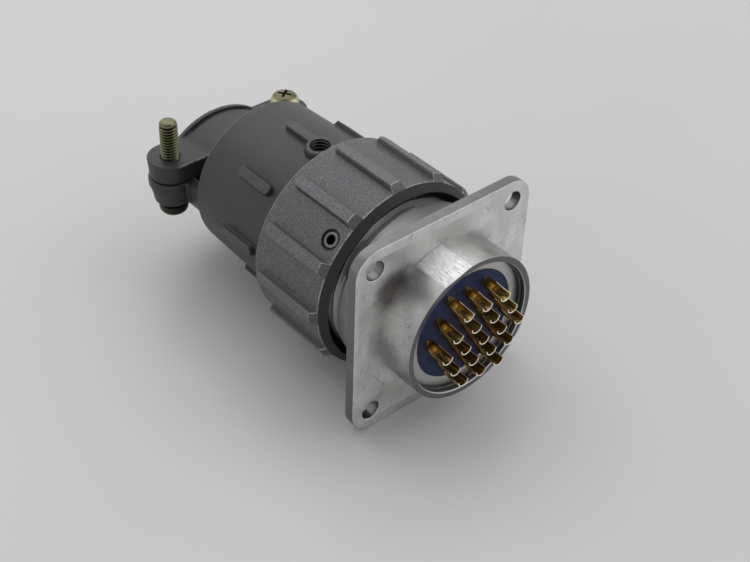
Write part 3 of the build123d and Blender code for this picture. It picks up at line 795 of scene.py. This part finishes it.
spots = [(CONTACT_PITCH * ((count - 1) / 2 - place), CONTACT_PITCH * math.sqrt(3) / 2 * (2 - row))
         for row, count in enumerate((3, 4, 5, 4, 3)) for place in range(count)]
for number, (y, z) in enumerate(spots, start=1):
    cup = finished_piece(f"solder_cup_{number:02d}", cup_mesh, "receptacle", gold,
                         [f"pin_contact_{number:02d}"])
    cup.location = (0, y * MM, z * MM)
    easing = cup.modifiers.new("edge", "BEVEL")
    easing.width, easing.segments, easing.limit_method = CUP_EDGE * MM, 2, "ANGLE"
    easing.angle_limit = math.radians(40)
print(len(spots), "solder cups share", len(cup_mesh.polygons), "faces")

# %% [markdown]
# ## The coupling nut
#
# The nut is cast, so its ribs melt into the body. A height that changes with place and angle
# gives that for free: each rib is a smooth rise over the distance from its middle line, and
# a cone at the mouth cuts body and ribs alike. Its thread is the same wave as the
# receptacle's, a hair wider, so the two never touch.

# %% Ribbed nut
NUT_RIBS, NUT_RIB_HEIGHT, RIB_PHASE = 12, 1.1, math.radians(2.0)
NUT_RIB_FLAT, NUT_RIB_FOOT, NUT_RIB_REAR, NUT_EDGE, THREAD_ROOM = 0.92, 1.36, -25.4, 0.3, 0.07


def rib_rise(away, flat, foot):
    """1 within flat of the rib's middle line, 0 beyond foot, smooth on the flank."""
    share = np.clip((foot - away) / (foot - flat), 0, 1)
    return share * share * (3 - 2 * share)


def rib_field(x, angles, radius, count, start, end, flat, foot):
    """Height of the ribs, 0 to 1, at a place along the axis and at every angle."""
    spacing = 2 * math.pi / count
    side = (np.mod(angles - RIB_PHASE + spacing / 2, spacing) - spacing / 2) * radius
    past = max(start - x, x - end, 0.0)
    return rib_rise(np.hypot(side, past), flat, foot)


def rib_angles(count, radius, foot, dense, sparse):
    """Angles that crowd on the ribs' flanks and thin out in the valleys."""
    spacing = 2 * math.pi / count
    edge = 1.15 * foot / radius
    valley = np.linspace(edge, spacing - edge, sparse + 2)[1:-1]
    one = np.concatenate([np.linspace(-edge, edge, dense), valley])
    return np.concatenate([RIB_PHASE + number * spacing + one for number in range(count)])


angles = rib_angles(NUT_RIBS, NUT_RADIUS, NUT_RIB_FOOT, 26, 9)
skin = []
for x in np.concatenate([
        np.linspace(NUT_FRONT, NUT_FRONT - 2.6, 34), np.linspace(NUT_FRONT - 2.8, -25.2, 36),
        np.linspace(-25.3, -27.0, 20), [NUT_REAR + NUT_EDGE]]):
    rise = rib_field(x, angles, NUT_RADIUS, NUT_RIBS, NUT_RIB_REAR, 0, NUT_RIB_FLAT, NUT_RIB_FOOT)
    skin.append((x, np.minimum(NUT_RADIUS + NUT_RIB_HEIGHT * rise, LIP + NUT_FRONT - x)))
tail = arc_end(NUT_REAR, NUT_RADIUS, NUT_EDGE, 0.3, 5)
inside = [(NUT_REAR, 15.6), (NUT_REAR + 0.1, 15.5), (-27.2, 15.5), (-27.2, 13.51), (-25.0, 13.51),
          (-25.0, 15.2), (-19.1, 15.2)]
inside += [(x, THREAD_ROOM + THREAD_CREST - THREAD_DEPTH * (1 - helix_wave(x, angles, THREAD_PITCH)))
           for x in np.linspace(-19.05, -12.5, 60)]
inside += [(-12.45, 15.2), (-11.5, 16.45), (NUT_FRONT - 0.1, 16.45), (NUT_FRONT, 16.52)]
nut_mesh = loose_mesh(*spun(skin + tail + inside, angles))


def radial(angle, x):
    """Matrix that stands a piece built along +Z on the axis's side at that angle."""
    return Matrix.Translation((x * MM, 0, 0)) @ Matrix.Rotation(angle - math.pi / 2, 4, "X")


def post_mesh(bottom, top, radius, x=0.0, y=0.0, steps=48):
    """Round post along Z."""
    return prism_mesh(circle(x, y, radius, steps), bottom, top, axis=2)


screw_place = radial(SCREW_ANGLE, SCREW_X)
screw_hole, dish = post_mesh(13, 20, 1.5), post_mesh(17.45, 20, DISH)
for cutter in (screw_hole, dish):
    cutter.transform(screw_place)
nut_mesh = carved(nut_mesh, [screw_hole, dish])
finished_piece("ribbed_nut", nut_mesh, "nut", nut_grey, ["coupling_nut"], crease=32)
print("nut", len(nut_mesh.polygons), "faces")

# %% [markdown]
# ## Set screw
#
# The wall of its hexagon socket is a radius that changes with angle, so the same spinning
# helper makes it.

# %% Hexagon-socket screw
SOCKET_HALF = 0.75
angles = round_angles(96)
key = SOCKET_HALF / np.cos(np.mod(angles + math.pi / 6, math.pi / 3) - math.pi / 6)
screw_outline = [
    (16.25, 0.0), (16.3, key), (17.5, key), (17.58, key * 1.06), (17.65, 1.12), (17.62, 1.3),
    (17.5, 1.42), (15.2, 1.42), (14.95, 1.2), (14.95, 0.0)]


def upright(points):
    """Points spun about X, turned to stand along Z."""
    return points[:, [1, 2, 0]]


points, faces = spun(screw_outline, angles)
set_screw_mesh = loose_mesh(upright(points), faces)
set_screw_mesh.transform(screw_place)
finished_piece("hex_set_screw", set_screw_mesh, "set_screw", black_steel, ["nut_set_screw"], crease=30)

# %% [markdown]
# ## The backshell
#
# The same rise gives the backshell its eight short ribs, the thin flash where the mould's
# halves met, and the boss on the top rib, with the distance measured from a point instead of
# from a line. Its hole was tapped after coating, so a thread of bare metal is put in it.

# %% Backshell skin
SHELL_FRONT, TAPER_START, SHELL_EDGE, FLASH_END = -27.3, -37.6, 0.9, -44
SHELL_RIBS, SHELL_RIB_HEIGHT, SHELL_RIB_FLAT, SHELL_RIB_FOOT = 8, 1.0, 0.86, 1.14
SHELL_RIB_REAR, SHELL_RIB_FRONT = -39.7, -32.7
BOSS_RADIUS, BOSS_HEIGHT, TAP_PITCH = 2.65, 1.2, 0.7
angles = rib_angles(SHELL_RIBS, SHELL_RADIUS, 1.6, 34, 28)


def side_from(angle):
    """Distance round the backshell from an angle, at each of the current angles."""
    return (np.mod(angles - angle + math.pi, 2 * math.pi) - math.pi) * SHELL_RADIUS


boss_side = side_from(BOSS_ANGLE)
flash = sum(rib_rise(np.abs(side_from(RIB_PHASE + turn)), 0.02, 0.28) for turn in (0, math.pi))
skin = []
for x in np.concatenate([[SHELL_FRONT], np.linspace(-27.6, SHELL_REAR + SHELL_EDGE, 150)]):
    share = np.clip((x - TAPER_START) / (SHELL_REAR + SHELL_EDGE - TAPER_START), 0, 1)
    radius = SHELL_RADIUS + (SHELL_END_RADIUS - SHELL_RADIUS) * share
    rise = rib_field(x, angles, SHELL_RADIUS, SHELL_RIBS, SHELL_RIB_REAR, SHELL_RIB_FRONT,
                     SHELL_RIB_FLAT, SHELL_RIB_FOOT) * SHELL_RIB_HEIGHT
    boss = rib_rise(np.hypot(boss_side, x - BOSS_X), BOSS_RADIUS - 0.25, BOSS_RADIUS + 0.15)
    rise = np.maximum(rise, boss * BOSS_HEIGHT)
    skin.append((x, radius + np.maximum(rise, 0.12 * flash * (x > FLASH_END))))
tail = arc_end(SHELL_REAR, SHELL_END_RADIUS, SHELL_EDGE, 0.12, 9)
inside = [
    (SHELL_REAR, 10.9), (SHELL_REAR + 0.1, 10.8), (-48.3, 10.8), (-48.3, 12.9), (TAPER_START, 12.9),
    (TAPER_START, 13.05), (-28.6, 13.05), (-28.6, 13.5), (SHELL_FRONT, 13.5)]
shell_mesh = loose_mesh(*spun(skin + tail + inside, angles))
boss_place = radial(BOSS_ANGLE, BOSS_X)
tapped = post_mesh(12, 18, TAP_ROOT - 0.02, steps=64)
tapped.transform(boss_place)
shell_mesh = carved(shell_mesh, [tapped])
finished_piece("backshell_skin", shell_mesh, "plug", shell_grey, ["backshell"], crease=32)

angles = round_angles(64)
wave = [(x, TAP_CREST + (TAP_ROOT - TAP_CREST) * (1 - helix_wave(x, angles, TAP_PITCH)))
        for x in np.linspace(13.1, 16.05, 70)]
points, faces = spun(wave + [(16.25, TAP_ROOT), (13.1, TAP_ROOT + 0.03)], angles)
tap_mesh = loose_mesh(upright(points), faces)
tap_mesh.transform(boss_place)
finished_piece("tapped_thread", tap_mesh, "plug", black_steel, ["backshell"], crease=60)
print("backshell", len(shell_mesh.polygons), "faces")

# %% [markdown]
# ## Cast clamp halves
#
# The trough and the saddle have no single axis, so they are joined and cut from simple
# solids, then rebuilt as one even skin and smoothed. That melts every inner corner into the
# fillet a casting has, which edge bevels on a boolean's long faces can't do reliably.

# %% Trough with lower lugs
CLAMP_REAR, LUG_RADIUS, TROUGH_TOP, LUG_BOTTOM = -64.5, 4.4, -0.1, -5.4
CLEAR_HOLE, THREADED_HOLE, HEAD_ROOM = 2.0, 1.79, 3.05


def cast_skin(mesh, grain, rounds):
    """Even skin over a mesh, its corners melted by a few rounds of smoothing."""
    holder = in_scene("cast", mesh)
    even = holder.modifiers.new("even", "REMESH")
    even.mode, even.voxel_size, even.use_smooth_shade = "VOXEL", grain * MM, True
    soft = holder.modifiers.new("soft", "SMOOTH")
    soft.factor, soft.iterations = 0.5, rounds
    return changed_mesh(holder)


def lug_plan(radius):
    """Bar with round ends about the two screws, seen from above."""
    turns = [(y, math.radians(start + step)) for y, start in ((LUG_Y, 0), (-LUG_Y, 180))
             for step in range(0, 181, 6)]
    return [(CLAMP_MIDDLE + radius * math.cos(turn), y + radius * math.sin(turn)) for y, turn in turns]


def bar_x(radius, start, end, z=0.0, steps=128):
    return prism_mesh(circle(0, z, radius, steps), start, end, axis=0)


def box_mesh(low, high):
    outline = [(low[1], low[2]), (high[1], low[2]), (high[1], high[2]), (low[1], high[2])]
    return prism_mesh(outline, low[0], high[0], axis=0)


trough_outline = [(-50.0, 0.0), (-50.0, 13.0), (-62.0, 13.0), (-63.0, 12.8), (-63.8, 12.25),
                  (-64.3, 11.4), (CLAMP_REAR, 10.5), (CLAMP_REAR, 0.0)]
trough = loose_mesh(*spun(trough_outline, round_angles(128)))
trough = carved(trough, [box_mesh((-70, -20, TROUGH_TOP), (-40, 20, 20))])
lower_lugs = [
    prism_mesh(lug_plan(LUG_RADIUS - 0.9), LUG_BOTTOM, -2.3, axis=2, top=lug_plan(LUG_RADIUS - 0.4)),
    prism_mesh(lug_plan(LUG_RADIUS - 0.4), -3.0, -1.0, axis=2),
    prism_mesh(lug_plan(LUG_RADIUS), -1.95, TROUGH_TOP, axis=2)]
trough = carved(trough, lower_lugs, "UNION")
trough = carved(trough, [
    bar_x(10.8, -62.5, -40), bar_x(12.0, -70, -60, 7.2),
    post_mesh(-7, 2, CLEAR_HOLE, CLAMP_MIDDLE, -LUG_Y),
    post_mesh(-7, 2, THREADED_HOLE, CLAMP_MIDDLE, LUG_Y),
    post_mesh(-10, LUG_BOTTOM, HEAD_ROOM, CLAMP_MIDDLE, -LUG_Y)])
trough_mesh = cast_skin(trough, 0.2, 3)
finished_piece("clamp_trough", trough_mesh, "plug", shell_grey, ["backshell"], crease=60)

# %% [markdown]
# The saddle's section is one line: flat on the lugs, up over the arch and down again, with
# a small arc where they meet. Pushed along the axis and cut to the lugs' plan, it gets its
# bead on the rear edge and the narrow groove in front of it.

# %% Saddle
ARCH_Z, ARCH_OUTER, ARCH_INNER, SADDLE_BOTTOM, BLEND, REACH = -7.2, 13.6, 12.0, 0.1, 2.5, 18.2
BEAD_HEIGHT, BEAD_WIDTH, GROOVE_DEPTH, GROOVE_WIDTH = 0.45, 0.9, 0.35, 0.55
foot = math.sqrt((ARCH_OUTER + BLEND) ** 2 - (LUG_TOP + BLEND - ARCH_Z) ** 2)
lean = math.atan2(LUG_TOP + BLEND - ARCH_Z, foot)
top_line = [(REACH, LUG_TOP)]
top_line += [(foot - BLEND * math.cos(t), LUG_TOP + BLEND * (1 - math.sin(t)))
             for t in np.linspace(math.pi / 2, lean, 8)]
top_line += [(ARCH_OUTER * math.cos(t), ARCH_Z + ARCH_OUTER * math.sin(t))
             for t in np.linspace(lean, math.pi / 2, 20)]
saddle_outline = top_line + [(-y, z) for y, z in reversed(top_line[:-1])]
saddle_outline += [(-REACH, SADDLE_BOTTOM), (REACH, SADDLE_BOTTOM)]
saddle = prism_mesh(saddle_outline, CLAMP_REAR, CLAMP_FRONT, axis=0)
slant = prism_mesh(lug_plan(LUG_RADIUS - 0.35), SADDLE_BOTTOM - 0.5, 9, axis=2,
                   top=lug_plan(LUG_RADIUS + 0.35))
saddle = carved(saddle, [slant], "INTERSECT")
bead = bar_x(ARCH_OUTER + BEAD_HEIGHT, CLAMP_REAR, CLAMP_REAR + BEAD_WIDTH, ARCH_Z, 160)
bead = carved(bead, [box_mesh((-70, -20, -40), (-50, 20, LUG_TOP))])
groove = bar_x(20, CLAMP_REAR + BEAD_WIDTH, CLAMP_REAR + BEAD_WIDTH + GROOVE_WIDTH, ARCH_Z, 64)
groove = carved(groove, [bar_x(ARCH_OUTER - GROOVE_DEPTH, -70, -50, ARCH_Z, 160),
                         box_mesh((-70, -30, -40), (-50, 30, LUG_TOP + 0.6))])
saddle = carved(carved(saddle, [bead], "UNION"), [
    groove, bar_x(ARCH_INNER, -70, -50, ARCH_Z), post_mesh(-3, 8, THREADED_HOLE, CLAMP_MIDDLE, -LUG_Y),
    post_mesh(-3, 8, CLEAR_HOLE, CLAMP_MIDDLE, LUG_Y)])
saddle_mesh = cast_skin(saddle, 0.15, 2)
finished_piece("clamp_saddle_cast", saddle_mesh, "saddle", shell_grey, ["clamp_saddle"], crease=60)
print("trough", len(trough_mesh.polygons), "saddle", len(saddle_mesh.polygons), "faces")

# %% [markdown]
# ## Clamp screws and spring washers
#
# Two pan-head screws, one from above and one from below. The thread is real geometry here,
# because the left screw's end stands free in front of the background, where a bumped
# cylinder would keep a straight outline.

# %% Screws
SCREW_THREAD_DEPTH, SCREW_PITCH, HEAD_HEIGHT, CROSS_FLOOR, CROSS_WIDTH, CROSS_REACH = (
    0.36, 0.6, 2.45, 1.8, 0.6, 2.7)
WASHER_END, WASHER_STEPS, WASHER_SPRING = 0.12, 72, 0.02
angles = round_angles(56)
head_outline = [(0.0, 1.6), (0.0, 2.68), (0.1, HEAD_RADIUS), (0.8, HEAD_RADIUS)] + [
    (0.8 + (HEAD_HEIGHT - 0.8) * math.sin(t), HEAD_RADIUS * math.cos(t) ** 0.6 if t < 1.55 else 0.0)
    for t in np.linspace(0.15, 1.565, 14)]
shank = thread_stations(-SCREW_LENGTH + 0.68, -0.2, SCREW_CREST, SCREW_THREAD_DEPTH, SCREW_PITCH,
                        angles, steps=12, lead=0.3)
screw_tip = [(up - SCREW_LENGTH, radius) for up, radius in
             ((0, 0.0), (0, 1.22), (0.05, 1.30), (0.4, 1.62), (0.55, 1.66), (0.62, 1.42))]
screw_points, screw_faces = spun(screw_tip + shank + head_outline, angles)
screw_mesh = loose_mesh(upright(screw_points), screw_faces)
arms = ((CROSS_WIDTH / 2, CROSS_REACH / 2), (CROSS_REACH / 2, CROSS_WIDTH / 2))
screw_mesh = carved(screw_mesh, [box_mesh((-a, -b, CROSS_FLOOR), (a, b, 3.0)) for b, a in arms])


def clamp_screw(side, y, seat, turn):
    """Copy of the screw, turned and then set on its seat."""
    mesh = screw_mesh.copy()
    mesh.transform(turn)
    mesh.transform(Matrix.Translation(Vector((CLAMP_MIDDLE, y, seat)) * MM))
    finished_piece(f"pan_screw_{side}", mesh, f"{side}_screw", zinc, [f"clamp_screw_{side}"], crease=34)


clamp_screw("right", LUG_Y, RIGHT_SEAT, Matrix.Rotation(0.6, 4, "Z"))
clamp_screw("left", -LUG_Y, LEFT_SEAT, Matrix.Rotation(math.pi, 4, "X"))


def spring_washer(side, y, bottom):
    """Split washer whose ends spring apart by a little."""
    section = rounded([(1.85, 0.0), (2.6, 0.0), (2.6, 0.55), (1.85, 0.55)], 0.1, 2)
    points = [(CLAMP_MIDDLE + radius * math.cos(turn), y + radius * math.sin(turn),
               bottom + level + WASHER_SPRING * turn)
              for turn in np.linspace(WASHER_END, 2 * math.pi - WASHER_END, WASHER_STEPS)
              for radius, level in section]
    mesh = raw_mesh(points, bent_bar(WASHER_STEPS, len(section)))
    finished_piece(f"split_washer_{side}", mesh, f"{side}_screw", zinc, [f"spring_washer_{side}"])


spring_washer("right", LUG_Y, LUG_TOP + 0.06)
spring_washer("left", -LUG_Y, LEFT_SEAT + 0.06)
print(len(screw_mesh.polygons), "faces on a clamp screw")

# %% [markdown]
# ## Table, light and camera
#
# The room is pale near the horizon and dim above the camera. A wide soft lamp hangs behind
# the object to the left and a weaker one to the right, so the shadow falls forward and the
# milled flat mirrors the first. The camera's angle was measured from the photograph.

# %% Table
TABLE_TONE, TABLE_Z, TABLE_HALF = 0.61, -19.02, 900
table_finish = Finish("pale_table", None)
table_cloud = table_finish.noise(60.0)
table_finish.finish(
    Base_Color=table_finish.mix(table_cloud, (0.98 * TABLE_TONE,) * 3, (1.02 * TABLE_TONE,) * 3),
    Roughness=0.32 + table_cloud * 0.04,
    Specular_IOR_Level=0.3)
corners = [(x * TABLE_HALF, y * TABLE_HALF, TABLE_Z) for x, y in ((-1, -1), (1, -1), (1, 1), (-1, 1))]
table_mesh = loose_mesh(corners, [(0, 1, 2, 3)])
table_mesh.materials.append(table_finish.material)
in_scene("table", table_mesh)

# %% World
scene = bpy.context.scene
scene.view_settings.view_transform = "Standard"
studio = bpy.data.worlds.new("studio")
scene.world = studio
studio.use_nodes = True
room = Tree(studio.node_tree)
ray = room.node("ShaderNodeTexCoord")


def towards(direction):
    """How far a ray of the room points along a direction, from -1 to 1."""
    settings = {"operation": "DOT_PRODUCT"}
    return room.node("ShaderNodeVectorMath", settings, {0: ray, 1: direction}, output="Value")


above = towards((0, 0, 1)).between(0.12, 0.55)
near_camera = towards((0.40, -0.35, 0.85)).between(0.6, 0.95)
wall = room.mix(above, (0.95, 0.95, 0.95), (0.78, 0.78, 0.785))
wall = room.mix(above * near_camera, wall, (0.30, 0.30, 0.305))
glow = room.node("ShaderNodeBackground", {}, {"Color": wall, "Strength": 1.0})
room.end("ShaderNodeOutputWorld", glow)


# %% Lamps
def softbox(name, place, size, watts):
    """Rectangular lamp that is aimed at the object."""
    lamp = bpy.data.lights.new(name, "AREA")
    lamp.shape, lamp.size, lamp.size_y, lamp.energy = "RECTANGLE", size[0], size[1], watts
    holder = in_scene(name, lamp)
    holder.location = place
    holder.rotation_euler = (-Vector(place)).to_track_quat("-Z", "Y").to_euler()


softbox("ceiling_back", (-0.70, 0.11, 0.97), (1.4, 1.3), 5.0)
softbox("ceiling_right", (0.35, 0.75, 1.0), (0.9, 0.9), 2.4)

# %% Camera
AZIMUTH, ELEVATION, ROLL = (math.radians(a) for a in (48.176, 39.189, 2.114))
AIM, DISTANCE = Vector((-9.292, -6.753, 2.970)) * MM, 234.122 * MM
FOCAL_PIXELS, WIDTH_PIXELS, SENSOR = 1397.6, 750, 36
level = math.cos(ELEVATION)
back = Vector((math.sin(AZIMUTH) * level, -math.cos(AZIMUTH) * level, math.sin(ELEVATION)))
level_right = Vector((math.cos(AZIMUTH), math.sin(AZIMUTH), 0))
level_view = Matrix((level_right, back.cross(level_right), back)).transposed().to_4x4()
lens = bpy.data.cameras.new("camera")
lens.lens = FOCAL_PIXELS / WIDTH_PIXELS * SENSOR
lens.clip_start, lens.clip_end = 0.01, 10
camera = in_scene("camera", lens)
camera.matrix_world = (
    Matrix.Translation(AIM + back * DISTANCE) @ level_view @ Matrix.Rotation(ROLL, 4, "Z"))
scene.camera = camera
